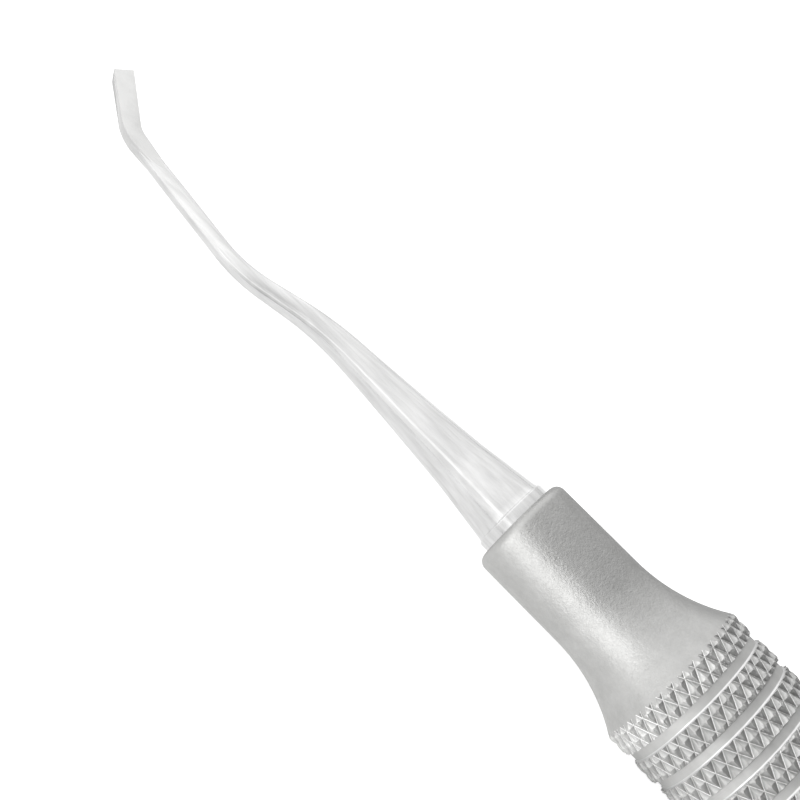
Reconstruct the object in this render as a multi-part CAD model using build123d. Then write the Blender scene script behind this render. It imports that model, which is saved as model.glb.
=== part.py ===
from build123d import *

import os
from math import asin, cos, degrees, radians, sin, sqrt, tan

# Double-ended dental elevator: a hollow knurled steel handle with a flared collar at each end and a
# forged, contra-angled chisel working end brazed into each collar.
#
# Frame: +X runs along the handle axis towards the front working end, +Z is square to the flat blade
# faces, and the origin is the middle of the handle. The rear half is the front half inverted through
# the origin, so the two working ends are a mirror-image pair. All sizes are in millimetres.
#
# Two axial measures are used below: "depth" runs from a collar's nose face into the handle, and
# "reach" runs from the same nose face outwards to the tip.

# ---- driving dimensions ---------------------------------------------------------------------------
nose_to_nose = 104.0  # between the nose faces of the two collars

# grip tube
grip_radius = 4.75  # over the knurled bands
bore_radius = 4.0
groove_radius = 4.52  # floor of the ring grooves
groove_width = 0.62
groove_pitch = 1.98
grooves_per_end = 13
first_groove_depth = 13.25  # centre of the ring groove nearest the collar
band_edge = 0.05  # broken edge on each side of a knurled band

# collar
land_radius = 3.10  # cylindrical land behind the nose
nose_round = 0.55
flare_start_depth = 6.10
flare_end_depth = 11.70
spigot_length = 6.0
spigot_lead_in = 0.3
socket_radius = 2.375  # counterbore that takes the shank's neck with a hairline gap
socket_depth = 1.5

# brazing filler
ring_depth = 15.0  # front wall of the groove that holds the spigot's filler ring
ring_width = 1.0
ring_height = 0.3
fillet_leg = 0.65

# tang and shank
tang_radius = 1.6
tang_stick_out = 0.9  # past the inner face of the collar, where the filler bead sits
tang_lead_in = 0.25
neck_radius = 2.32
neck_reach = 0.65
neck_round = 0.12
cone_base_radius = 2.28
cone_end_reach = 4.4
cone_end_radius = 1.67
taper_length = 19.6  # from the end of the cone to the slimmest, even part of the shank
taper_power = 1.68
slim_radius = 0.565
waist = 0.04  # by which the radius shrinks again towards the blade
waist_start = 22.0  # along the centreline, from the end of the cone
core_end_reach = 31.4  # the round core ends here, inside the blade
shank_sections = 18

# bends of the shank, as reach and sideways offset; the last is the mitred corner of the flat blade
first_bend = (15.45, 0.0)
second_bend = (21.13, 1.48)
blade_bend = (32.09, -0.04)
bend_radii = [17.0, 9.0]
blade_angle = 35.9  # of the blade's centreline to the handle axis
blade_length = 4.92  # from the blade bend to the cutting edge
inner_bend_radius = 1.4
outer_bend_radius = 4.2

# blade
blade_half_thickness = 0.41
edge_half_width = 0.62
bend_half_width = 0.56
root_reach = 27.6  # where the flattened root is still buried in the round shank
root_half_width = 0.25
wheel_radius = 14.0  # run-out arc at the end of each ground face
face_start_reach = 30.9  # where the flat faces begin
edge_skew = 4.0  # the cutting edge leans back on its outer corner, from square to the blade
edge_relief = 22.0  # the end face leans back under the cutting edge

# ---- worked out from them -------------------------------------------------------------------------
half_handle = nose_to_nose / 2
shoulder_depth = first_groove_depth - groove_width / 2  # the tube's end meets the collar here
collar_inner_depth = shoulder_depth + spigot_length
tang_end_depth = collar_inner_depth + tang_stick_out

blade_run = Vector(cos(radians(blade_angle)), -sin(radians(blade_angle)))
blade_side = Vector(sin(radians(blade_angle)), cos(radians(blade_angle)))
bend_point = Vector(*blade_bend)
tip_point = bend_point + blade_run * blade_length
root_run = (bend_point - Vector(*second_bend)).normalized()
root_side = Vector(-root_run.Y, root_run.X)


def turned(*profile):
    """A solid of revolution about X from a closed profile of lines and arcs in the XZ plane."""
    edges = [edge for item in profile for edge in item.edges()]
    return revolve(Plane.XZ * make_face(Wire(edges)), Axis.X)


def inwards(depth, radius):
    """A profile point at a depth behind the front collar's nose face."""
    return (half_handle - depth, radius)


def outwards(reach, radius):
    """A profile point at a reach in front of the front collar's nose face."""
    return (half_handle + reach, radius)


# ---- grip tube ------------------------------------------------------------------------------------
def grip_tube():
    """Hollow tube with ring grooves at both ends; its ends lie in the two outermost grooves."""
    outline = [inwards(shoulder_depth, groove_radius)]
    for number in range(grooves_per_end):
        centre = first_groove_depth + number * groove_pitch
        front, back = centre - groove_width / 2, centre + groove_width / 2
        if number:
            outline.append(inwards(front - band_edge, grip_radius))
            outline.append(inwards(front, grip_radius - band_edge))
            outline.append(inwards(front, groove_radius))
        outline.append(inwards(back, groove_radius))
        outline.append(inwards(back, grip_radius - band_edge))
        outline.append(inwards(back + band_edge, grip_radius))
    outline += [(-x, radius) for x, radius in reversed(outline)]
    outline += [inwards(nose_to_nose - shoulder_depth, bore_radius), inwards(shoulder_depth, bore_radius)]
    return turned(Polyline(*outline, close=True))


# ---- collar and its filler ring -------------------------------------------------------------------
def front_collar():
    """Turned ferrule: nose, land, concave flare, first band, spigot, tang bore and nose socket."""
    nose = TangentArc(
        inwards(nose_round, land_radius), inwards(0, land_radius - nose_round), tangent=(1, 0)
    )
    land = Line(inwards(nose_round, land_radius), inwards(flare_start_depth, land_radius))
    flare = TangentArc(
        inwards(flare_start_depth, land_radius), inwards(flare_end_depth, grip_radius), tangent=(-1, 0)
    )
    rest = Polyline(
        inwards(flare_end_depth, grip_radius),
        inwards(shoulder_depth - band_edge, grip_radius),
        inwards(shoulder_depth, grip_radius - band_edge),
        inwards(shoulder_depth, bore_radius),
        inwards(ring_depth, bore_radius),
        inwards(ring_depth, bore_radius - ring_height),
        inwards(ring_depth + ring_width, bore_radius - ring_height),
        inwards(ring_depth + ring_width, bore_radius),
        inwards(collar_inner_depth - spigot_lead_in, bore_radius),
        inwards(collar_inner_depth, bore_radius - spigot_lead_in),
        inwards(collar_inner_depth, tang_radius),
        inwards(socket_depth, tang_radius),
        inwards(socket_depth, socket_radius),
        inwards(0, socket_radius),
        inwards(0, land_radius - nose_round),
    )
    return turned(nose, land, flare, rest)


def front_collar_braze():
    """Ring of silver filler in the spigot's groove, against the bore of the tube."""
    return turned(
        Polyline(
            inwards(ring_depth, bore_radius - ring_height),
            inwards(ring_depth, bore_radius),
            inwards(ring_depth + ring_width, bore_radius),
            inwards(ring_depth + ring_width, bore_radius - ring_height),
            close=True,
        )
    )


def front_tang_braze():
    """Bead of silver filler around the tang on the inner face of the collar."""
    return turned(
        Polyline(
            inwards(collar_inner_depth, tang_radius),
            inwards(collar_inner_depth, tang_radius + fillet_leg),
            inwards(collar_inner_depth + fillet_leg, tang_radius),
            close=True,
        )
    )


# ---- working end ----------------------------------------------------------------------------------
def tang_and_cone():
    """Straight turned part: tang, neck seated in the collar's socket, and the first steep cone."""
    neck_arc = TangentArc(
        outwards(neck_reach - neck_round, neck_radius),
        outwards(neck_reach, neck_radius - neck_round),
        tangent=(1, 0),
    )
    rest = Polyline(
        outwards(neck_reach, neck_radius - neck_round),
        outwards(neck_reach + neck_round, cone_base_radius - neck_round),
        outwards(cone_end_reach, cone_end_radius),
        outwards(cone_end_reach, 0),
        inwards(tang_end_depth, 0),
        inwards(tang_end_depth, tang_radius - tang_lead_in),
        inwards(tang_end_depth - tang_lead_in, tang_radius),
        inwards(socket_depth, tang_radius),
        inwards(socket_depth, neck_radius),
        outwards(neck_reach - neck_round, neck_radius),
    )
    return turned(neck_arc, rest)


def shank_radius(length):
    """Radius of the tapering shank at a length along its centreline from the end of the cone."""
    left = max(0.0, 1 - length / taper_length)
    waisted = max(0.0, length - waist_start) / (core_end_reach - cone_end_reach - waist_start)
    return slim_radius + (cone_end_radius - slim_radius) * left**taper_power - waist * waisted**2


def shank():
    """Round shank, lofted through even sections of its bent centreline, until it ends in the blade."""
    end = bend_point - root_run * (blade_bend[0] - core_end_reach)
    corners = [(cone_end_reach, 0), first_bend, second_bend, (end.X, end.Y)]
    path = FilletPolyline(*[outwards(*corner) for corner in corners], radius=bend_radii)
    sections = []
    for number in range(shank_sections + 1):
        length = path.length * number / shank_sections
        here = path.position_at(length, position_mode=PositionMode.LENGTH)
        along = path.tangent_at(length, position_mode=PositionMode.LENGTH)
        sections.append(Plane(here, x_dir=(0, 0, 1), z_dir=along) * Circle(shank_radius(length)))
    return loft(sections)


def blade_plate():
    """Flat plate of the blade, from its root inside the shank, round the bend to the cutting edge."""
    root = bend_point - root_run * (blade_bend[0] - root_reach)
    corner_side = (root_side + blade_side).normalized()
    to_corner = corner_side * (bend_half_width / corner_side.dot(blade_side))
    to_edge = (blade_side - blade_run * tan(radians(edge_skew))) * edge_half_width
    points = [
        root + root_side * root_half_width,
        bend_point + to_corner,
        tip_point + to_edge,
        tip_point - to_edge,
        bend_point - to_corner,
        root - root_side * root_half_width,
    ]
    outline = make_face(Polyline(*[outwards(point.X, point.Y) for point in points], close=True))
    for corner, radius in ((points[1], outer_bend_radius), (points[4], inner_bend_radius)):
        place = Vector(*outwards(corner.X, corner.Y))
        nearest = min(outline.vertices(), key=lambda vertex: (Vector(*vertex) - place).length)
        outline = fillet(nearest, radius)
    return extrude(outline, blade_half_thickness, both=True)


def face_grind():
    """What the wheel takes off above the upper blade face, with its run-out arc at the root."""
    clearance = 1.5
    swing = asin(sqrt(wheel_radius**2 - (wheel_radius - clearance) ** 2) / wheel_radius)
    centre = outwards(face_start_reach, blade_half_thickness + wheel_radius)
    far = tip_point.X + 5
    arc = CenterArc(centre, wheel_radius, 270 - degrees(swing), degrees(swing))
    rest = Polyline(
        outwards(face_start_reach, blade_half_thickness),
        outwards(far, blade_half_thickness),
        outwards(far, blade_half_thickness + clearance),
        arc.position_at(0),
    )
    return extrude(Plane.XZ * make_face(Wire([*arc.edges(), *rest.edges()])), 8, both=True)


def edge_grind():
    """What is ground off the end of the blade, so that the end face leans back under the edge."""
    drop = 2.0
    profile = Polyline(
        (0, blade_half_thickness),
        (drop, blade_half_thickness),
        (drop, blade_half_thickness - drop),
        (-drop * tan(radians(edge_relief)), blade_half_thickness - drop),
        close=True,
    )
    tool = extrude(Plane.XZ * make_face(profile), 3, both=True)
    return Pos(*outwards(tip_point.X, tip_point.Y), 0) * Rot(Z=edge_skew - blade_angle) * tool


def front_working_end():
    """Forged piece: tang, neck, cone, bent shank and chisel blade."""
    upper = face_grind()
    round_part = shank() - upper - mirror(upper, Plane.XY)
    return tang_and_cone() + round_part + blade_plate() - edge_grind()


# ---- assembly -------------------------------------------------------------------------------------
def inverted(shape):
    """The rear partner of a front piece: the same shape inverted through the origin."""
    return Rot(Z=180) * mirror(shape, Plane.XY)


pieces = {"grip_tube": grip_tube()}
for make in (front_collar, front_collar_braze, front_tang_braze, front_working_end):
    piece = make()
    pieces[make.__name__] = piece
    pieces[make.__name__.replace("front", "rear")] = inverted(piece)

os.makedirs("parts", exist_ok=True)
for name, piece in pieces.items():
    export_step(piece, f"parts/{name}.step")
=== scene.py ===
"""Visual model of a double-ended dental elevator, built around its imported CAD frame.

The handle lies along +X towards the front working end and +Z is square to the flat blade faces. Meshes
are worked in millimetres and scaled to metres when they are finished. "Depth" runs from a collar's nose
face into the handle, and "reach" runs from the same face outwards to the tip.
"""

from __future__ import annotations

import logging
import math
from dataclasses import dataclass, field
from enum import Enum
from typing import Callable, Iterable, Sequence

import bmesh
import bpy
from bmesh.types import BMEdge, BMesh, BMFace, BMVert
from mathutils import Matrix, Vector


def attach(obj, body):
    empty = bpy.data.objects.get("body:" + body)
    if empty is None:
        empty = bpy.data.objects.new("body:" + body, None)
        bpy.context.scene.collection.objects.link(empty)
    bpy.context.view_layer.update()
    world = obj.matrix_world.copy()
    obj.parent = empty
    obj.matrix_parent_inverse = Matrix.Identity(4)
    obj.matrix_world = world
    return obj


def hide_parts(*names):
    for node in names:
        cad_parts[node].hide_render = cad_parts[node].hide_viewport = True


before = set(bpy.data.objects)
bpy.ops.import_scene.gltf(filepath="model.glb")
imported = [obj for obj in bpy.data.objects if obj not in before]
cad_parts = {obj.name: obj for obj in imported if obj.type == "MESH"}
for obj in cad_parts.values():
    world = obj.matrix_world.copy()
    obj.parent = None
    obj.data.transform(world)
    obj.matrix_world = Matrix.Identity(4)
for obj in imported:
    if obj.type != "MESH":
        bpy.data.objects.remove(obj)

Pair = tuple[float, float]
Triple = tuple[float, float, float]

MM = 0.001
BODY = "root"
MERGE_GAP = 1e-4
SLIVER = 1e-5
CUT_GAP = 1e-6
NOISE_MIDDLE = (0.3, 0.7)
WHITE = (1.0, 1.0, 1.0, 1.0)

log = logging.getLogger("elevator")


def quarter_round(steps: int) -> list[Pair]:
    """Points of a quarter circle of radius 1, each as 1 - cosine and 1 - sine, from (0, 1) to (1, 0)."""
    turns = [math.pi / 2 * step / steps for step in range(steps + 1)]
    return [(1 - math.cos(turn), 1 - math.sin(turn)) for turn in turns]


def staged(name: str, data: bpy.types.ID) -> bpy.types.Object:
    """Makes an object and links it to the scene.

    Args:
        name: Name of the object.
        data: What it shows.

    Returns:
        The object, at the origin.
    """
    made = bpy.data.objects.new(name, data)
    bpy.context.scene.collection.objects.link(made)
    return made


# ---- choices ----
class End(Enum):
    """The two ends of the instrument; the rear one is the front one inverted through the origin."""

    FRONT = "front"
    REAR = "rear"


class Surface(Enum):
    """Places of a steel piece's finishes in its material slots."""

    MAIN = 0
    SECOND = 1
    THIRD = 2
    FOURTH = 3


# ---- finishes ----
class NodeBench:
    """Lays out the nodes of a material or a world and links them."""

    def __init__(self, owner: bpy.types.Material | bpy.types.World, surface: str = "Principled BSDF") -> None:
        """Turns on the owner's nodes.

        Args:
            owner: The material or world.
            surface: Name of its shader node.
        """
        owner.use_nodes = True
        self.owner = owner
        self.tree = owner.node_tree
        self.shader = self.tree.nodes[surface]

    def add(self, kind: str, **settings: object) -> bpy.types.Node:
        """Adds a node.

        Args:
            kind: Node type.
            settings: Properties of the node, or default values of its inputs by name with "_" for " ".

        Returns:
            The new node.
        """
        node = self.tree.nodes.new(kind)
        for key, value in settings.items():
            socket = node.inputs.get(key.replace("_", " "))
            if hasattr(node, key) and socket is None:
                setattr(node, key, value)
            else:
                socket.default_value = value
        return node

    def link(self, source: bpy.types.NodeSocket, target: bpy.types.NodeSocket) -> None:
        """Links two sockets."""
        self.tree.links.new(source, target)

    def placed(self, stretch: Sequence[float]) -> bpy.types.NodeSocket:
        """Gives Object coordinates in millimetres, scaled by an amount along each axis.

        Args:
            stretch: Scale along X, Y and Z, where a small number draws the pattern out along that axis.

        Returns:
            The scaled coordinates.
        """
        where = self.add("ShaderNodeTexCoord")
        mapping = self.add("ShaderNodeMapping")
        mapping.inputs["Scale"].default_value = [amount / MM for amount in stretch]
        self.link(where.outputs["Object"], mapping.inputs["Vector"])
        return mapping.outputs["Vector"]

    def noise(self, grain: Grain) -> bpy.types.NodeSocket:
        """Adds a noise pattern.

        Args:
            grain: Its settings.

        Returns:
            The noise value, from 0 to 1.
        """
        pattern = self.add(
            "ShaderNodeTexNoise", Scale=grain.scale, Detail=grain.detail, Roughness=grain.rough
        )
        self.link(self.placed(grain.stretch), pattern.inputs["Vector"])
        return pattern.outputs["Fac"]

    def mapped(
        self, value: bpy.types.NodeSocket, ends: Sequence[float], curve: str = "LINEAR"
    ) -> bpy.types.NodeSocket:
        """Maps one range of a value to another.

        Args:
            value: The value.
            ends: Lower and upper end of the range it has, then of the range it gets.
            curve: Way from one end to the other.

        Returns:
            The mapped value.
        """
        node = self.add("ShaderNodeMapRange", interpolation_type=curve)
        for key, number in zip(("From Min", "From Max", "To Min", "To Max"), ends):
            node.inputs[key].default_value = number
        self.link(value, node.inputs["Value"])
        return node.outputs["Result"]

    def tint(
        self, value: bpy.types.NodeSocket, dark: Sequence[float], light: Sequence[float]
    ) -> bpy.types.NodeSocket:
        """Blends two colours over the useful middle of a noise value.

        Args:
            value: The noise value.
            dark: Colour at the lower end of the middle.
            light: Colour at its upper end.

        Returns:
            The colour.
        """
        ramp = self.add("ShaderNodeValToRGB")
        for stop, place, colour in zip(ramp.color_ramp.elements, NOISE_MIDDLE, (dark, light)):
            stop.position = place
            stop.color = (*colour, 1.0)
        self.link(value, ramp.inputs["Fac"])
        return ramp.outputs["Color"]

    def metal(self, colour: bpy.types.NodeSocket, texture: bpy.types.NodeSocket, dull: Pair) -> None:
        """Makes the shader bare metal.

        Args:
            colour: The metal's colour.
            texture: Noise value that sets the roughness.
            dull: Roughness at the lower and the upper end of the noise value's useful middle.
        """
        self.shader.inputs["Metallic"].default_value = 1.0
        self.link(colour, self.shader.inputs["Base Color"])
        self.link(self.mapped(texture, (*NOISE_MIDDLE, *dull)), self.shader.inputs["Roughness"])

    def bump(self, *layers: tuple[bpy.types.NodeSocket, float]) -> None:
        """Stacks bump layers on the shader's normal.

        Args:
            layers: Pairs of a height value and the height in millimetres that its full range stands for.
        """
        normal = None
        for height, depth in layers:
            node = self.add("ShaderNodeBump", Strength=1.0, Distance=depth * MM)
            self.link(height, node.inputs["Height"])
            if normal is not None:
                self.link(normal, node.inputs["Normal"])
            normal = node.outputs["Normal"]
        self.link(normal, self.shader.inputs["Normal"])


@dataclass(frozen=True)
class Grain:
    """A noise pattern: scale along each axis, cells per millimetre, octaves and how strong each one is."""

    stretch: Triple
    scale: float
    detail: float
    rough: float = 0.55


@dataclass(frozen=True)
class MetalFinish:
    """A plain metal finish: clouds blend its two colours, and a texture roughens and bumps it over pits."""

    name: str
    dark: Triple
    light: Triple
    roughness: Pair
    clouds: Grain
    texture: Grain
    texture_depth: float
    pits: Grain | None = None
    pit_depth: float = 0.0

    def material(self) -> bpy.types.Material:
        """Makes the material.

        Returns:
            The material.
        """
        bench = NodeBench(bpy.data.materials.new(self.name))
        texture = bench.noise(self.texture)
        bench.metal(bench.tint(bench.noise(self.clouds), self.dark, self.light), texture, self.roughness)
        layers = [(texture, self.texture_depth)]
        if self.pits is not None:
            layers.insert(0, (bench.noise(self.pits), self.pit_depth))
        bench.bump(*layers)
        return bench.owner


@dataclass(frozen=True)
class PolishedSteel(MetalFinish):
    """Mirror-polished stainless steel with faint polishing lines drawn out along the shank."""

    name: str = "polished_steel"
    dark: Triple = (0.62, 0.62, 0.618)
    light: Triple = (0.79, 0.79, 0.787)
    roughness: Pair = (0.08, 0.18)
    clouds: Grain = Grain((0.1, 1, 1), 2.6, 4)
    texture: Grain = Grain((0.05, 1, 1), 9, 4)
    texture_depth: float = 0.0022


@dataclass(frozen=True)
class GroundSteel(MetalFinish):
    """Flat faces of the blade, ground and then lightly polished, with lines along the blade."""

    name: str = "ground_blade_steel"
    dark: Triple = (0.605, 0.605, 0.60)
    light: Triple = (0.65, 0.65, 0.645)
    roughness: Pair = (0.16, 0.24)
    clouds: Grain = Grain((0.6, 1, 1), 1.6, 3)
    texture: Grain = Grain((0.08, 1, 1), 12, 3)
    texture_depth: float = 0.0006


@dataclass(frozen=True)
class SatinSteel(MetalFinish):
    """Bead-blasted stainless steel: a fine pitted grain under soft clouds of lighter and darker grey."""

    name: str = "satin_steel"
    dark: Triple = (0.44, 0.44, 0.432)
    light: Triple = (0.56, 0.56, 0.552)
    roughness: Pair = (0.42, 0.52)
    clouds: Grain = Grain((0.8, 1, 1), 0.8, 9, 0.84)
    texture: Grain = Grain((1, 1, 1), 14, 3)
    texture_depth: float = 0.010
    pits: Grain | None = Grain((1, 1, 1), 5, 2)
    pit_depth: float = 0.020


@dataclass(frozen=True)
class TurnedSteel(MetalFinish):
    """Floors and walls of the ring grooves: satin, with the fine rings that a turning tool leaves."""

    name: str = "turned_groove_steel"
    dark: Triple = (0.66, 0.66, 0.65)
    light: Triple = (0.74, 0.74, 0.73)
    roughness: Pair = (0.54, 0.64)
    clouds: Grain = Grain((0.8, 1, 1), 1.2, 3)
    texture: Grain = Grain((1, 0.02, 0.02), 26, 2)
    texture_depth: float = 0.0015


@dataclass(frozen=True)
class HighlightPaintedGrooveSteel(MetalFinish):
    """Wall and root of a ring groove on its back side, with a painted highlight: a brighter base colour where
    the light catches that wall.
    """

    name: str = "burnished_groove_steel"
    # These colours are a painted highlight, brighter than the plain groove finish.
    dark: Triple = (0.80, 0.80, 0.795)
    light: Triple = (0.90, 0.90, 0.895)
    roughness: Pair = (0.32, 0.44)
    clouds: Grain = Grain((0.8, 1, 1), 1.5, 4)
    texture: Grain = Grain((1, 0.02, 0.02), 26, 2)
    texture_depth: float = 0.001


@dataclass(frozen=True)
class SilverBraze(MetalFinish):
    """Silver filler as it froze: warm, softly rippled and a little oxidised."""

    name: str = "silver_braze"
    dark: Triple = (0.60, 0.55, 0.42)
    light: Triple = (0.80, 0.76, 0.64)
    roughness: Pair = (0.25, 0.45)
    clouds: Grain = Grain((1, 1, 1), 3, 4)
    texture: Grain = Grain((1, 1, 1), 3, 4)
    texture_depth: float = 0.02


@dataclass(frozen=True)
class KnurledSteel:
    """Rolled knurl: dragged facets, with painted shade that darkens the colour down in the V-grooves and a
    painted highlight line at their bottom.
    """

    name: str = "knurled_steel"
    # The valley colour is painted shade, and the colour at the very bottom of the V-grooves is a painted
    # highlight line.
    painted_valley_shade: Triple = (0.44, 0.44, 0.435)
    crest: Triple = (0.66, 0.66, 0.65)
    painted_root_highlight: Triple = (0.95, 0.95, 0.94)
    painted_highlight_radius: float = 4.575
    painted_shade_radius: float = 4.595
    crest_radius: float = 4.69
    roughness: Pair = (0.32, 0.48)
    drag_depth: float = 0.08

    def material(self) -> bpy.types.Material:
        """Makes the material.

        Returns:
            The material.
        """
        bench = NodeBench(bpy.data.materials.new(self.name))
        across = bench.add("ShaderNodeVectorMath", operation="LENGTH")
        bench.link(bench.placed((0, 1, 1)), across.inputs[0])
        # Colour by radius: painted shade darkens the flanks towards the V bottom, where a thin painted
        # highlight line sits.
        climb = bench.mapped(across.outputs["Value"], (self.painted_highlight_radius, self.crest_radius, 0, 1))
        ramp = bench.add("ShaderNodeValToRGB")
        painted_shade_stop = (self.painted_shade_radius - self.painted_highlight_radius) / (self.crest_radius - self.painted_highlight_radius)
        ramp.color_ramp.elements.new(painted_shade_stop)
        for stop, colour in zip(ramp.color_ramp.elements, (self.painted_root_highlight, self.painted_valley_shade, self.crest)):
            stop.color = (*colour, 1.0)
        bench.link(climb, ramp.inputs["Fac"])
        drag = bench.noise(Grain((0.3, 1, 1), 6.5, 5, 0.65))
        bench.metal(ramp.outputs["Color"], drag, self.roughness)
        bench.bump((drag, self.drag_depth))
        return bench.owner


@dataclass(frozen=True)
class StudioFloor:
    """Matt white sheet with a barely visible paper grain, which glows so that the camera sees it white."""

    name: str = "studio_floor"
    dark: Triple = (0.78, 0.78, 0.78)
    light: Triple = (0.82, 0.82, 0.82)
    glow: float = 0.75

    def material(self) -> bpy.types.Material:
        """Makes the material.

        Returns:
            The material.
        """
        bench = NodeBench(bpy.data.materials.new(self.name))
        bench.shader.inputs["Roughness"].default_value = 0.9
        bench.shader.inputs["Specular IOR Level"].default_value = 0.1
        grain = bench.noise(Grain((1, 1, 1), 0.4, 3))
        bench.link(bench.tint(grain, self.dark, self.light), bench.shader.inputs["Base Color"])
        path = bench.add("ShaderNodeLightPath")
        glow = bench.add("ShaderNodeMath", operation="MULTIPLY")
        glow.inputs[1].default_value = self.glow
        bench.link(path.outputs["Is Camera Ray"], glow.inputs[0])
        bench.shader.inputs["Emission Color"].default_value = WHITE
        bench.link(glow.outputs["Value"], bench.shader.inputs["Emission Strength"])
        return bench.owner


# ---- shop operations ----
@dataclass
class Workpiece:
    """A bmesh in millimetres, with the operations that the steel pieces share."""

    bm: BMesh = field(default_factory=bmesh.new)
    sharp_angle: float = 26.0

    def drawn(
        self, chain: Sequence[BMEdge], move: Callable[[Vector], Vector], surface: Surface, smooth: bool
    ) -> list[BMEdge]:
        """Extrudes a chain of edges and puts the new points in their place.

        Args:
            chain: Edges to extrude.
            move: Gives the new place of a point from its old one.
            surface: Finish of the new faces.
            smooth: Whether the new faces are shaded smooth.

        Returns:
            The edges of the new chain.
        """
        made = bmesh.ops.extrude_edge_only(self.bm, edges=list(chain))["geom"]
        for item in made:
            if isinstance(item, BMVert):
                item.co = move(item.co)
            elif isinstance(item, BMFace):
                item.material_index = surface.value
                item.smooth = smooth
        points = {item for item in made if isinstance(item, BMVert)}
        return [item for item in made if isinstance(item, BMEdge) and set(item.verts) <= points]

    def raised(self, by: Sequence[float]) -> list[BMVert]:
        """Extrudes all faces as one region and closes them to a solid.

        Args:
            by: Shift of the far side.

        Returns:
            The points of the far side.
        """
        lifted = bmesh.ops.extrude_face_region(self.bm, geom=list(self.bm.faces))["geom"]
        far = [item for item in lifted if isinstance(item, BMVert)]
        bmesh.ops.translate(self.bm, vec=by, verts=far)
        return far

    def rounded(self, geometry: Sequence[BMVert | BMEdge], offset: float, affect: str, segments: int) -> None:
        """Bevels corners or edges with a round profile.

        Args:
            geometry: Points or edges to bevel.
            offset: Distance of the bevel's rim from them.
            affect: "VERTICES" or "EDGES".
            segments: Number of faces across the bevel.
        """
        bmesh.ops.bevel(
            self.bm,
            geom=geometry,
            offset=offset,
            offset_type="OFFSET",
            affect=affect,
            segments=segments,
            profile=0.5,
            material=-1,
        )

    def flipped(self, signs: Sequence[float]) -> None:
        """Mirrors the piece along one axis or inverts it along all three, where the sign is -1."""
        bmesh.ops.scale(self.bm, vec=signs, verts=self.bm.verts)
        bmesh.ops.reverse_faces(self.bm, faces=self.bm.faces)

    def settle(self) -> None:
        """Merges coincident points, turns faces outwards and marks the sharp edges."""
        bmesh.ops.remove_doubles(self.bm, verts=self.bm.verts, dist=MERGE_GAP)
        bmesh.ops.dissolve_degenerate(self.bm, edges=self.bm.edges, dist=SLIVER)
        bmesh.ops.recalc_face_normals(self.bm, faces=self.bm.faces)
        for edge in self.bm.edges:
            if len(edge.link_faces) == 2:
                first, second = edge.link_faces
                turn = math.degrees(edge.calc_face_angle(0.0))
                edge.smooth = turn < self.sharp_angle and first.material_index == second.material_index

    def finished(self, name: str, finishes: Sequence[bpy.types.Material]) -> bpy.types.Object:
        """Scales the piece to metres and makes its object.

        Args:
            name: Name of the object.
            finishes: Materials in slot order.

        Returns:
            The object, at the origin.
        """
        self.settle()
        bmesh.ops.scale(self.bm, vec=(MM, MM, MM), verts=self.bm.verts)
        loose = sum(1 for edge in self.bm.edges if len(edge.link_faces) != 2)
        log.info("%s: %d faces, %d open edges", name, len(self.bm.faces), loose)
        return self.shown(name, finishes)

    def shown(self, name: str, finishes: Sequence[bpy.types.Material]) -> bpy.types.Object:
        """Makes an object of the piece as it is and frees the bmesh.

        Args:
            name: Name of the object.
            finishes: Materials in slot order.

        Returns:
            The object, at the origin.
        """
        mesh = bpy.data.meshes.new(name)
        self.bm.to_mesh(mesh)
        self.bm.free()
        for finish in finishes:
            mesh.materials.append(finish)
        return staged(name, mesh)


# ---- the handle's shared sizes ----
@dataclass(frozen=True)
class HandleSizes:
    """Sizes in millimetres that the grip tube and the collars share."""

    half_handle: float = 52.0
    grip_radius: float = 4.75
    bore_radius: float = 4.0
    groove_radius: float = 4.52
    groove_width: float = 0.62
    groove_pitch: float = 1.98
    grooves: int = 13
    first_groove: float = 13.25
    knurl_end: float = 38.45

    def x(self, depth: float) -> float:
        """Place along the handle of a depth behind the front nose face."""
        return self.half_handle - depth

    def groove_walls(self, number: int) -> Pair:
        """Front and back wall of a ring groove, as places along the handle."""
        centre = self.x(self.first_groove + number * self.groove_pitch)
        return centre + self.groove_width / 2, centre - self.groove_width / 2

    @property
    def shoulder(self) -> float:
        """Place along the handle where the tube's end meets the collar."""
        return self.groove_walls(0)[0]


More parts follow.
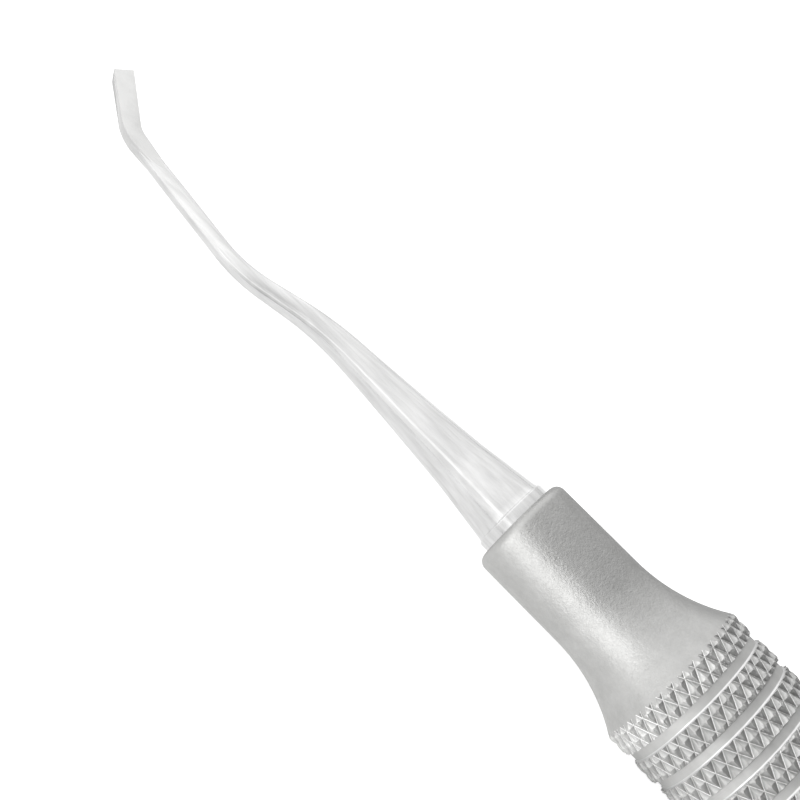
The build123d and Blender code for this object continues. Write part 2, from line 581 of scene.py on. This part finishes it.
@dataclass
class KnurlStrip:
    """One start's width of diamond knurl, laid flat: X along the handle, Y round it and Z out of it.

    Every cut is made on the flat strip, which is then bent to the grip radius and repeated round the
    handle.
    """

    sizes: HandleSizes = field(default_factory=HandleSizes)
    starts: int = 37
    diamond_length: float = 1.47
    depth: float = 0.18
    flank: float = 0.28
    phase: float = -0.19
    near_root: float = 0.08
    far_root: float = 0.11
    root_steps: int = 6
    trim: float = 1.0
    spare_cells: int = 3
    spare_width: float = 1.2
    work: Workpiece = field(default_factory=Workpiece)

    @property
    def width(self) -> float:
        """Width of one start round the handle."""
        return math.tau * self.sizes.grip_radius / self.starts

    def rolled(self, front: float, back: float) -> None:
        """Lays out the diamonds as pyramids between two places along the handle, with some to trim.

        Args:
            front: Place of the strip's front end.
            back: Place of its back end.
        """
        bm = self.work.bm
        front, back = front + self.trim, back - self.trim
        cells = math.ceil((front - back) / self.diamond_length) + self.spare_cells
        bmesh.ops.create_grid(bm, x_segments=cells, y_segments=cells, size=cells / 2)
        half_length, half_width = self.diamond_length / 2, self.width / 2
        lattice = Matrix(((half_length, half_length, 0), (-half_width, half_width, 0), (0, 0, 1)))
        bmesh.ops.transform(bm, matrix=lattice.to_4x4(), verts=bm.verts)
        middle = self.diamond_length * round((front + back) / 2 / self.diamond_length + cells / 2)
        middle += self.phase - self.diamond_length * cells / 2
        bmesh.ops.translate(bm, vec=(middle, 0, -self.depth), verts=bm.verts)
        beyond = [vert for vert in bm.verts if abs(vert.co.y) > self.width * self.spare_width]
        bmesh.ops.delete(bm, geom=beyond, context="VERTS")
        bmesh.ops.inset_individual(
            bm, faces=bm.faces, thickness=self.flank, depth=self.depth, use_even_offset=True
        )
        for side in (-1, 1):
            self.cut((0, side * half_width, 0), (0, side, 0))
        for face in bm.faces:
            face.material_index = Surface.SECOND.value
            face.smooth = False

    def cut(self, place: Sequence[float], away: Sequence[float], clear: bool = True) -> None:
        """Cuts the strip with a plane.

        Args:
            place: A point on the plane.
            away: The plane's normal.
            clear: Whether what lies on the side that the normal points to is cleared away.
        """
        bm = self.work.bm
        geometry = [*bm.verts, *bm.edges, *bm.faces]
        bmesh.ops.bisect_plane(
            bm, geom=geometry, dist=CUT_GAP, plane_co=place, plane_no=away, clear_outer=clear
        )

    def grooved(self, front: float, back: float) -> None:
        """Turns one ring groove into the strip, with its two walls and its floor.

        Args:
            front: Place of the front wall.
            back: Place of the back wall.
        """
        bm = self.work.bm
        for wall in (front, back):
            self.cut((wall, 0, 0), (1, 0, 0), clear=False)
        inside = [face for face in bm.faces if back < face.calc_center_median().x < front]
        bmesh.ops.delete(bm, geom=inside, context="FACES")
        feet = []
        for wall, root in ((front, -self.near_root), (back, self.far_root)):
            feet += self.walled(self.edge_at(wall), wall, root)
        for face in bmesh.ops.bridge_loops(bm, edges=feet)["faces"]:
            face.material_index = Surface.THIRD.value
            face.smooth = True

    def walled(self, chain: Sequence[BMEdge], wall: float, root: float) -> list[BMEdge]:
        """Draws a band's edge down its wall and round the tool's corner radius to the groove floor.

        Args:
            chain: The band's cut edge.
            wall: Place of the wall.
            root: Corner radius, negative where the groove lies behind the wall.

        Returns:
            The chain on the groove floor.
        """
        floor = self.sizes.groove_radius - self.sizes.grip_radius
        # The back wall and its root get the finish with the painted highlight, and the front wall gets the
        # plain groove finish.
        surface = Surface.FOURTH if root > 0 else Surface.THIRD
        for step, (out, up) in enumerate(quarter_round(self.root_steps)):
            place, height = wall + root * out, floor + abs(root) * up
            last = step == self.root_steps
            chain = self.work.drawn(
                chain,
                lambda at: Vector((place, at.y, height if last else min(at.z, height))),
                surface,
                step > 0,
            )
        return chain

    def edge_at(self, place: float) -> list[BMEdge]:
        """Open edges of the strip that lie across it at a place along the handle."""
        return self.edge_on((place, 0, 0), (1, 0, 0))

    def edge_on(self, place: Sequence[float], normal: Sequence[float]) -> list[BMEdge]:
        """Open edges of the strip that lie on a plane, without those along its two sides.

        Args:
            place: A point on the plane.
            normal: The plane's normal.

        Returns:
            The edges.
        """
        square = Vector(normal).normalized()
        return [
            edge
            for edge in self.work.bm.edges
            if len(edge.link_faces) == 1
            and abs(edge.verts[0].co.y - edge.verts[1].co.y) > SLIVER
            and all(abs((vert.co - Vector(place)).dot(square)) < MERGE_GAP for vert in edge.verts)
        ]

    def evened(self, chain: Sequence[BMEdge]) -> None:
        """Spaces the points of a chain evenly across the strip.

        Args:
            chain: Edges across the strip.
        """
        points = sorted({vert for edge in chain for vert in edge.verts}, key=lambda vert: vert.co.y)
        for number, vert in enumerate(points):
            vert.co.y = self.width * (number / (len(points) - 1) - 0.5)

    def followed(
        self, chain: Sequence[BMEdge], profile: Iterable[Pair], surface: Surface
    ) -> list[BMEdge]:
        """Draws a chain through the points of a turned profile.

        Args:
            chain: Edges across the strip.
            profile: Places along the handle, each with a radius.
            surface: Finish of the new faces.

        Returns:
            The last chain.
        """
        for place, radius in profile:
            height = radius - self.sizes.grip_radius
            chain = self.work.drawn(chain, lambda at: Vector((place, at.y, height)), surface, True)
        return chain

    def wrapped(self) -> Workpiece:
        """Bends the strip to the grip radius and repeats it round the handle.

        Returns:
            The round piece.
        """
        bm = self.work.bm
        for vert in bm.verts:
            turn, radius = vert.co.y / self.sizes.grip_radius, self.sizes.grip_radius + vert.co.z
            vert.co = Vector((vert.co.x, radius * math.sin(turn), radius * math.cos(turn)))
        copies = self.starts - 1
        bmesh.ops.spin(
            bm,
            geom=[*bm.verts, *bm.edges, *bm.faces],
            cent=(0, 0, 0),
            axis=(1, 0, 0),
            dvec=(0, 0, 0),
            angle=math.tau * copies / self.starts,
            steps=copies,
            use_duplicate=True,
        )
        bmesh.ops.remove_doubles(bm, verts=bm.verts, dist=MERGE_GAP)
        return self.work


# ---- sub-assemblies ----
@dataclass
class GripTube:
    """Hollow grip with knurled bands between ring grooves at both ends and a plain satin middle."""

    finishes: Sequence[bpy.types.Material]
    sizes: HandleSizes = field(default_factory=HandleSizes)
    run_out: float = 0.25

    def build(self) -> bpy.types.Object:
        """Builds the tube and dresses it.

        Returns:
            The finished piece.
        """
        sizes = self.sizes
        strip = KnurlStrip(sizes)
        front, end = sizes.groove_walls(0)[1], sizes.x(sizes.knurl_end)
        strip.rolled(front, end)
        strip.cut((front, 0, 0), (1, 0, 0))
        ramp = (-strip.depth / self.run_out, 0, -1)
        strip.cut((end, 0, 0), ramp)
        for number in range(1, sizes.grooves):
            strip.grooved(*sizes.groove_walls(number))

        work = strip.work
        # The back wall of the first groove, which gets the painted highlight finish.
        chain = strip.walled(strip.edge_at(front), front, strip.far_root)
        chain = strip.followed(chain, [(sizes.shoulder, sizes.groove_radius)], Surface.THIRD)
        strip.followed(chain, [(sizes.shoulder, sizes.bore_radius), (0, sizes.bore_radius)], Surface.THIRD)
        ramp_edge = strip.edge_on((end, 0, 0), ramp)
        chain = work.drawn(ramp_edge, lambda at: Vector((end, at.y, 0)), Surface.SECOND, False)
        strip.evened(chain)
        strip.followed(chain, [(0, sizes.grip_radius)], Surface.MAIN)

        tube = strip.wrapped()
        half = bpy.data.meshes.new("half_tube")
        tube.bm.to_mesh(half)
        tube.flipped((-1, 1, 1))
        tube.bm.from_mesh(half)
        bmesh.ops.remove_doubles(tube.bm, verts=tube.bm.verts, dist=MERGE_GAP)
        bpy.data.meshes.remove(half)
        piece = tube.finished("steel_grip", self.finishes)
        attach(piece, BODY)
        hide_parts("grip_tube")
        return piece


@dataclass
class Collar:
    """Turned collar: rounded nose, land, concave flare and the first knurled band, with its spigot."""

    end: End
    finishes: Sequence[bpy.types.Material]
    sizes: HandleSizes = field(default_factory=HandleSizes)
    land_radius: float = 3.10
    nose_round: float = 0.55
    land_rings: tuple[float, ...] = (4.5, 3.0, 1.6)
    flare_start: float = 6.10
    flare_end: float = 11.70
    run_out_start: float = 11.20
    spigot_length: float = 6.0
    spigot_lead_in: float = 0.3
    ring_groove: Pair = (15.0, 16.0)
    ring_height: float = 0.3
    tang_radius: float = 1.6
    socket_radius: float = 2.375
    socket_depth: float = 1.5
    socket_edge: float = 0.02
    shoulder_relief: float = 0.15
    flare_steps: int = 26
    nose_steps: int = 10

    def flare_radius(self, depth: float) -> float:
        """Works out the radius of the concave flare, which is an arc tangent to the land.

        Args:
            depth: Depth behind the nose face.

        Returns:
            The radius there.
        """
        rise, run = self.sizes.grip_radius - self.land_radius, self.flare_end - self.flare_start
        arc = (rise**2 + run**2) / (2 * rise)
        return self.land_radius + arc - math.sqrt(arc**2 - (depth - self.flare_start) ** 2)

    def outer_profile(self) -> list[Pair]:
        """Works out the profile from the flare to the mouth of the socket.

        Returns:
            Places along the handle, each with a radius.
        """
        x, steps = self.sizes.x, self.flare_steps
        run = self.flare_start - self.run_out_start
        flare = [self.run_out_start + run * number / steps for number in range(1, steps + 1)]
        points = [(x(depth), self.flare_radius(depth)) for depth in flare]
        points += [(x(depth), self.land_radius) for depth in (*self.land_rings, self.nose_round)]
        for inwards, back in quarter_round(self.nose_steps)[1:]:
            points.append((x(self.nose_round * back), self.land_radius - self.nose_round * inwards))
        points.append((x(0), self.socket_radius + self.socket_edge))
        points.append((x(self.socket_edge), self.socket_radius))
        return points

    def inner_profile(self) -> list[Pair]:
        """Works out the profile from the socket through the tang bore and back over the spigot.

        Returns:
            Places along the handle, each with a radius.
        """
        x, sizes = self.sizes.x, self.sizes
        shoulder = sizes.half_handle - sizes.shoulder
        inner, bore = shoulder + self.spigot_length, sizes.bore_radius
        front, back = self.ring_groove
        return [
            (x(self.socket_depth), self.socket_radius),
            (x(self.socket_depth), self.tang_radius),
            (x(inner), self.tang_radius),
            (x(inner), bore - self.spigot_lead_in),
            (x(inner - self.spigot_lead_in), bore),
            (x(back), bore),
            (x(back), bore - self.ring_height),
            (x(front), bore - self.ring_height),
            (x(front), bore),
            (x(shoulder), bore),
            (x(shoulder), bore + self.shoulder_relief),
        ]

    def build(self) -> bpy.types.Object:
        """Builds the collar and dresses it.

        Returns:
            The finished piece.
        """
        sizes = self.sizes
        strip = KnurlStrip(sizes)
        top, foot = sizes.x(self.flare_end), sizes.x(self.run_out_start)
        strip.rolled(foot, sizes.shoulder)
        strip.cut((sizes.shoulder, 0, 0), (-1, 0, 0))
        drop = sizes.grip_radius - self.flare_radius(self.run_out_start)
        slope = (drop / (foot - top), 0, 1)
        strip.cut((top, 0, 0), slope)

        work = strip.work
        chain = work.drawn(
            strip.edge_on((top, 0, 0), slope), lambda at: Vector((foot, at.y, -drop)), Surface.MAIN, True
        )
        strip.evened(chain)
        chain = strip.followed(chain, self.outer_profile(), Surface.MAIN)
        chain = strip.followed(chain, self.inner_profile(), Surface.THIRD)
        wall = work.drawn(
            [edge for edge in strip.edge_at(sizes.shoulder) if edge not in set(chain)],
            lambda at: Vector((at.x, at.y, sizes.bore_radius + 2 * self.shoulder_relief - sizes.grip_radius)),
            Surface.THIRD,
            False,
        )
        for face in bmesh.ops.bridge_loops(work.bm, edges=[*chain, *wall])["faces"]:
            face.material_index = Surface.THIRD.value

        collar = strip.wrapped()
        if self.end is End.REAR:
            collar.flipped((-1, -1, -1))
        piece = collar.finished(f"{self.end.value}_steel_collar", self.finishes)
        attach(piece, BODY)
        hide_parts(f"{self.end.value}_collar")
        return piece


@dataclass
class WorkingEnd:
    """Forged and ground working end: tang, neck, cone, twice-bent tapering shank and chisel blade."""

    end: End
    finishes: Sequence[bpy.types.Material]
    half_handle: float = 52.0
    ring_points: int = 72
    tang_radius: float = 1.6
    tang_end: float = 19.84
    tang_lead_in: float = 0.25
    socket_depth: float = 1.5
    neck_radius: float = 2.32
    neck_reach: float = 0.65
    neck_round: float = 0.12
    cone_base_radius: float = 2.28
    cone_end_reach: float = 4.4
    cone_end_radius: float = 1.67
    taper_length: float = 19.6
    taper_power: float = 1.68
    slim_radius: float = 0.565
    waist: float = 0.04
    waist_start: float = 22.0
    core_end: float = 31.4
    corners: tuple[Pair, ...] = ((4.4, 0.0), (15.45, 0.0), (21.13, 1.48), (32.09, -0.04))
    bend_radii: Pair = (17.0, 9.0)
    station_step: float = 0.25
    blade_angle: float = 35.9
    blade_length: float = 4.92
    half_thickness: float = 0.41
    edge_half_width: float = 0.62
    bend_half_width: float = 0.56
    root_reach: float = 27.6
    root_half_width: float = 0.25
    inner_bend_radius: float = 1.4
    outer_bend_radius: float = 4.2
    edge_skew: float = 4.0
    edge_relief: float = 22.0
    bend_steps: int = 12
    broken_edge: float = 0.03
    broken_edge_steps: int = 2
    wheel_radius: float = 14.0
    face_start: float = 30.9
    wheel_steps: int = 44
    wheel_clearance: float = 1.5
    wheel_half_width: float = 3.5
    wheel_reach: float = 41.0
    collar_side_reach: float = -0.4
    round_steps: int = 4
    cone_steps: int = 12
    crisp_angle: float = 40.0

    def shank_radius(self, length: float) -> float:
        """Works out the radius of the shank.

        Args:
            length: Length along the centreline from the end of the cone.

        Returns:
            The radius there.
        """
        left = max(0.0, 1 - length / self.taper_length)
        span = self.core_end - self.cone_end_reach - self.waist_start
        waisted = max(0.0, length - self.waist_start) / span
        taper = (self.cone_end_radius - self.slim_radius) * left**self.taper_power
        return self.slim_radius + taper - self.waist * waisted**2

    def centreline(self) -> list[tuple[Vector, float]]:
        """Points along the bent centreline of the shank.

        Returns:
            Pairs of a point, as reach and sideways offset, and a heading in radians.
        """
        knots = [Vector(corner) for corner in self.corners]
        last_run = (knots[3] - knots[2]).normalized()
        knots[3] = knots[3] - last_run * (self.corners[3][0] - self.core_end)
        stations: list[tuple[Vector, float]] = []
        here = knots[0]
        for before, corner, after, radius in zip(knots, knots[1:], knots[2:], self.bend_radii):
            run, leave = (corner - before).normalized(), (after - corner).normalized()
            heading, turn = math.atan2(run.y, run.x), run.angle_signed(leave) * -1
            setback = radius * math.tan(abs(turn) / 2)
            start = corner - run * setback
            stations += self.straight(here, start, heading)
            side = Vector((-run.y, run.x)) * math.copysign(radius, turn)
            steps = max(2, math.ceil(radius * abs(turn) / self.station_step))
            for step in range(steps):
                part = turn * step / steps
                stations.append((start + side - Matrix.Rotation(part, 2) @ side, heading + part))
            here = corner + leave * setback
        heading = math.atan2(last_run.y, last_run.x)
        return [*stations, *self.straight(here, knots[3], heading), (knots[3], heading)]

    def straight(self, start: Vector, end: Vector, heading: float) -> list[tuple[Vector, float]]:
        """Evenly spaced points along a straight run, without its last one.

        Args:
            start: First point of the run.
            end: Last point of the run.
            heading: Direction of the run in radians.

        Returns:
            Pairs of a point and the heading.
        """
        steps = max(1, math.ceil((end - start).length / self.station_step))
        return [(start.lerp(end, step / steps), heading) for step in range(steps)]

    def stations(self) -> list[tuple[Matrix, float]]:
        """Places the rings of the round part, from the tang to the blade.

        Returns:
            Pairs of a placement and a radius.
        """
        lead, radius = self.tang_lead_in, self.tang_radius
        rings = [
            (-self.tang_end, radius - lead),
            (lead - self.tang_end, radius),
            (-self.socket_depth, radius),
            (-self.socket_depth, self.neck_radius),
            (self.collar_side_reach, self.neck_radius),
        ]
        for inwards, back in quarter_round(self.round_steps):
            reach = self.neck_reach - self.neck_round * back
            rings.append((reach, self.neck_radius - self.neck_round * inwards))
        cone_start = (self.neck_reach + self.neck_round, self.cone_base_radius - self.neck_round)
        for step in range(self.cone_steps + 1):
            part = step / self.cone_steps
            reach = cone_start[0] + (self.cone_end_reach - cone_start[0]) * part
            rings.append((reach, cone_start[1] + (self.cone_end_radius - cone_start[1]) * part))
        placed = [(Matrix.Translation((self.half_handle + reach, 0, 0)), size) for reach, size in rings]
        length, before = 0.0, Vector(self.corners[0])
        for point, heading in self.centreline()[1:]:
            length, before = length + (point - before).length, point
            place = Matrix.Translation((self.half_handle + point.x, point.y, 0))
            placed.append((place @ Matrix.Rotation(heading, 4, "Z"), self.shank_radius(length)))
        return placed

    def round_part(self) -> Workpiece:
        """Draws a ring through every station and closes both ends.

        Returns:
            The round part of the working end.
        """
        work = Workpiece()
        upright = Matrix.Rotation(math.pi / 2, 4, "Y")
        places = [place @ upright @ Matrix.Scale(size, 4) for place, size in self.stations()]
        bmesh.ops.create_circle(work.bm, segments=self.ring_points, radius=1, matrix=places[0])
        chain: list[BMEdge] = list(work.bm.edges)
        for before, after in zip(places, places[1:]):
            step = after @ before.inverted()
            chain = work.drawn(chain, lambda at: step @ at, Surface.MAIN, True)
        bmesh.ops.holes_fill(work.bm, edges=work.bm.edges, sides=0)
        bmesh.ops.recalc_face_normals(work.bm, faces=work.bm.faces)
        return work

    def blade_plate(self) -> Workpiece:
        """Builds the flat plate of the blade with its rounded bend and broken edges.

        Returns:
            The plate.
        """
        work = Workpiece()
        swing = math.radians(self.blade_angle)
        run, side = Vector((math.cos(swing), -math.sin(swing))), Vector((math.sin(swing), math.cos(swing)))
        bend, before = Vector(self.corners[3]), Vector(self.corners[2])
        root_run = (bend - before).normalized()
        root_side = Vector((-root_run.y, root_run.x))
        root = bend - root_run * (bend.x - self.root_reach)
        tip = bend + run * self.blade_length
        mitre = (root_side + side).normalized()
        to_corner = mitre * (self.bend_half_width / mitre.dot(side))
        to_edge = (side - run * math.tan(math.radians(self.edge_skew))) * self.edge_half_width
        outline = [
            root + root_side * self.root_half_width,
            bend + to_corner,
            tip + to_edge,
            tip - to_edge,
            bend - to_corner,
            root - root_side * self.root_half_width,
        ]
        bm = work.bm
        points = [bm.verts.new((self.half_handle + at.x, at.y, -self.half_thickness)) for at in outline]
        bm.faces.new(points)
        turn = swing - abs(math.atan2(root_run.y, root_run.x))
        for corner, radius in ((points[1], self.outer_bend_radius), (points[4], self.inner_bend_radius)):
            work.rounded([corner], radius * math.tan(turn / 2), "VERTICES", self.bend_steps)
        work.raised((0, 0, 2 * self.half_thickness))
        setback = 2 * self.half_thickness * math.tan(math.radians(self.edge_relief))
        bm.verts.ensure_lookup_table()
        for corner in (outline[2], outline[3]):
            place = Vector((self.half_handle + corner.x, corner.y, -self.half_thickness))
            lower = min(bm.verts, key=lambda vert: (vert.co - place).length)
            lower.co -= Vector((run.x, run.y, 0)) * setback
        bmesh.ops.recalc_face_normals(bm, faces=bm.faces)
        crisp = [edge for edge in bm.edges if math.degrees(edge.calc_face_angle(0.0)) > self.crisp_angle]
        work.rounded(crisp, self.broken_edge, "EDGES", self.broken_edge_steps)
        for face in bm.faces:
            face.material_index = Surface.SECOND.value
            face.smooth = True
        return work

    def grinding_wheel(self) -> Workpiece:
        """Builds what the wheel takes off above the upper blade face, with its run-out arc.

        Returns:
            The cutter.
        """
        work = Workpiece()
        bm = work.bm
        half_width, clearance = self.wheel_half_width, self.wheel_clearance
        swing = math.acos((self.wheel_radius - clearance) / self.wheel_radius)
        centre = (self.half_handle + self.face_start, self.half_thickness + self.wheel_radius)
        arc = [swing * (1 - step / self.wheel_steps) for step in range(self.wheel_steps + 1)]
        profile = [
            (centre[0] - self.wheel_radius * math.sin(turn), centre[1] - self.wheel_radius * math.cos(turn))
            for turn in arc
        ]
        far = self.half_handle + self.wheel_reach
        profile += [(far, self.half_thickness), (far, self.half_thickness + clearance)]
        bm.faces.new([bm.verts.new((x, -half_width, z)) for x, z in profile])
        work.raised((0, 2 * half_width, 0))
        bmesh.ops.recalc_face_normals(bm, faces=bm.faces)
        for side in bm.faces:
            side.material_index = Surface.SECOND.value
            side.smooth = True
        return work

    def joined(self) -> Workpiece:
        """Grinds both faces of the round part and joins the blade to it.

        Returns:
            The whole working end.
        """
        body = self.round_part().shown("round_part", self.finishes)
        upper, lower = self.grinding_wheel(), self.grinding_wheel()
        lower.flipped((1, 1, -1))
        tools = [
            (upper.shown("upper_wheel", self.finishes), "DIFFERENCE"),
            (lower.shown("lower_wheel", self.finishes), "DIFFERENCE"),
            (self.blade_plate().shown("plate", self.finishes), "UNION"),
        ]
        for tool, operation in tools:
            step = body.modifiers.new(operation.lower(), "BOOLEAN")
            step.object, step.operation, step.solver = tool, operation, "EXACT"
        graph = bpy.context.evaluated_depsgraph_get()
        mesh = bpy.data.meshes.new_from_object(body.evaluated_get(graph))
        work = Workpiece()
        work.bm.from_mesh(mesh)
        bpy.data.meshes.remove(mesh)
        for scrap in (body, *(tool for tool, _ in tools)):
            bpy.data.meshes.remove(scrap.data)
        return work

    def build(self) -> bpy.types.Object:
        """Builds the working end and dresses it.

        Returns:
            The finished piece.
        """
        work = self.joined()
        if self.end is End.REAR:
            work.flipped((-1, -1, -1))
        piece = work.finished(f"{self.end.value}_steel_working_end", self.finishes)
        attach(piece, BODY)
        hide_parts(f"{self.end.value}_working_end")
        return piece


@dataclass
class BrazedJoints:
    """The silver filler inside the handle, which keeps its CAD shape."""

    finish: bpy.types.Material

    def dress(self) -> list[bpy.types.Object]:
        """Gives every filler node its finish.

        Returns:
            The dressed nodes.
        """
        names = [f"{end.value}_{joint}_braze" for joint in ("collar", "tang") for end in End]
        dressed = [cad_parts[name] for name in names]
        for node in dressed:
            for slot in node.material_slots:
                slot.material = self.finish
        return dressed


# ---- studio ----
@dataclass(frozen=True)
class Softbox:
    """A rectangular soft light, placed and aimed in millimetres, for pieces with a word in their name."""

    name: str
    place: Triple
    aim: Triple
    size: Pair
    radiance: float
    lights: str

    def light(self, pieces: Iterable[bpy.types.Object]) -> None:
        """Hangs the light, flagged off from all but the pieces whose name holds the word in "lights".

        Args:
            pieces: All pieces of the instrument.
        """
        lamp = bpy.data.lights.new(self.name, "AREA")
        lamp.shape = "RECTANGLE"
        lamp.size, lamp.size_y = (side * MM for side in self.size)
        lamp.energy = self.radiance * math.pi * lamp.size * lamp.size_y
        holder = staged(self.name, lamp)
        place, aim = Vector(self.place) * MM, Vector(self.aim) * MM
        holder.location = place
        holder.rotation_euler = (aim - place).to_track_quat("-Z", "Y").to_euler()
        holder.visible_camera = False
        lit = bpy.data.collections.new(f"lit_by_{self.name}")
        for piece in pieces:
            if self.lights in piece.name:
                lit.objects.link(piece)
        holder.light_linking.receiver_collection = lit


@dataclass
class Studio:
    """Pale floor, soft lights and the camera."""

    floor_height: float = -4.75
    floor_half_side: float = 3000.0
    sky_behind: float = 0.15
    sky_ahead: float = 1.3
    sky_width: float = 0.6
    lens: float = 63.0
    camera_place: Triple = (48.92, 49.0, 60.8)
    roll_about_handle: float = 39.0
    lean_to_front: float = 9.152
    turn_in_frame: float = 45.0
    softboxes: tuple[Softbox, ...] = (
        Softbox("collar_key", (44, 240, 65), (44, 0, 0), (300, 170), 1.85, "collar"),
        Softbox("collar_bounce", (20, 36, -4.7), (20, 36, 10), (300, 70), 0.5, "collar"),
        Softbox("grip_key", (44, 240, 65), (44, 0, 0), (300, 170), 1.1, "grip"),
        Softbox("grip_bounce", (20, 41, -4.7), (20, 41, 10), (300, 70), 0.25, "grip"),
        Softbox("shank_bounce", (60, 60, -4.6), (60, 60, 10), (400, 400), 0.45, "working_end"),
        Softbox("shank_strip", (75, 223, 134), (75, 0, 0), (300, 42), 0.34, "working_end"),
        Softbox("shank_fill", (42, 235, 142), (72, 0, 0), (120, 260), 0.2, "working_end"),
    )

    def build(self, pieces: Sequence[bpy.types.Object]) -> None:
        """Lays the floor, hangs the lights and sets up the camera.

        Args:
            pieces: All pieces of the instrument.
        """
        self.lay_floor()
        self.light(pieces)
        self.set_camera()

    def lay_floor(self) -> None:
        """Lays the floor under the handle."""
        work = Workpiece()
        bmesh.ops.create_grid(work.bm, x_segments=2, y_segments=2, size=self.floor_half_side * MM)
        bmesh.ops.translate(work.bm, vec=(0, 0, self.floor_height * MM), verts=work.bm.verts)
        floor = work.shown("studio_floor", [StudioFloor().material()])

    def light(self, pieces: Sequence[bpy.types.Object]) -> None:
        """Lights the scene with a pale surround, brighter ahead of the front tip, and the softboxes.

        Args:
            pieces: All pieces of the instrument.
        """
        world = bpy.data.worlds.new("studio_surround")
        bench = NodeBench(world, "Background")
        bench.shader.inputs["Color"].default_value = WHITE
        where, parts = bench.add("ShaderNodeTexCoord"), bench.add("ShaderNodeSeparateXYZ")
        bench.link(where.outputs["Generated"], parts.inputs["Vector"])
        ends = (-self.sky_width, self.sky_width, self.sky_behind, self.sky_ahead)
        wash = bench.mapped(parts.outputs["X"], ends, "SMOOTHSTEP")
        bench.link(wash, bench.shader.inputs["Strength"])
        bpy.context.scene.world = world
        for softbox in self.softboxes:
            softbox.light(pieces)
        bpy.context.scene.view_settings.view_transform = "Standard"

    def set_camera(self) -> None:
        """Sets the camera above the front end, turned so that the handle runs across the frame."""
        roll, lean = math.radians(self.roll_about_handle), math.radians(self.lean_to_front)
        to_handle = Vector((-1, 0, 0))
        towards = Vector((0, math.sin(roll), math.cos(roll)))
        across = Vector((0, -math.cos(roll), math.sin(roll)))
        along = to_handle * math.cos(lean) - towards * math.sin(lean)
        back = to_handle * math.sin(lean) + towards * math.cos(lean)
        turn = math.radians(self.turn_in_frame)
        right = along * math.cos(turn) + across * math.sin(turn)
        up = across * math.cos(turn) - along * math.sin(turn)
        pose = Matrix((right, up, back)).transposed().to_4x4()
        data = bpy.data.cameras.new("camera")
        data.lens = self.lens
        data.clip_start, data.clip_end = MM, 100.0
        camera = staged("camera", data)
        camera.matrix_world = Matrix.Translation(Vector(self.camera_place) * MM) @ pose
        bpy.context.scene.camera = camera


def main() -> None:
    logging.basicConfig(level=logging.INFO, format="%(name)s: %(message)s")
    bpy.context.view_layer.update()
    shank_finishes = [finish.material() for finish in (PolishedSteel(), GroundSteel())]
    handle_finishes = [
        finish.material() for finish in (SatinSteel(), KnurledSteel(), TurnedSteel(), HighlightPaintedGrooveSteel())
    ]
    pieces = [GripTube(handle_finishes).build()]
    for end in End:
        pieces.append(Collar(end, handle_finishes).build())
        pieces.append(WorkingEnd(end, shank_finishes).build())
    pieces += BrazedJoints(SilverBraze().material()).dress()
    Studio().build(pieces)
    for piece in pieces:
        log.info("%s has %d polygons", piece.name, len(piece.data.polygons))


if __name__ == "__main__":
    main()
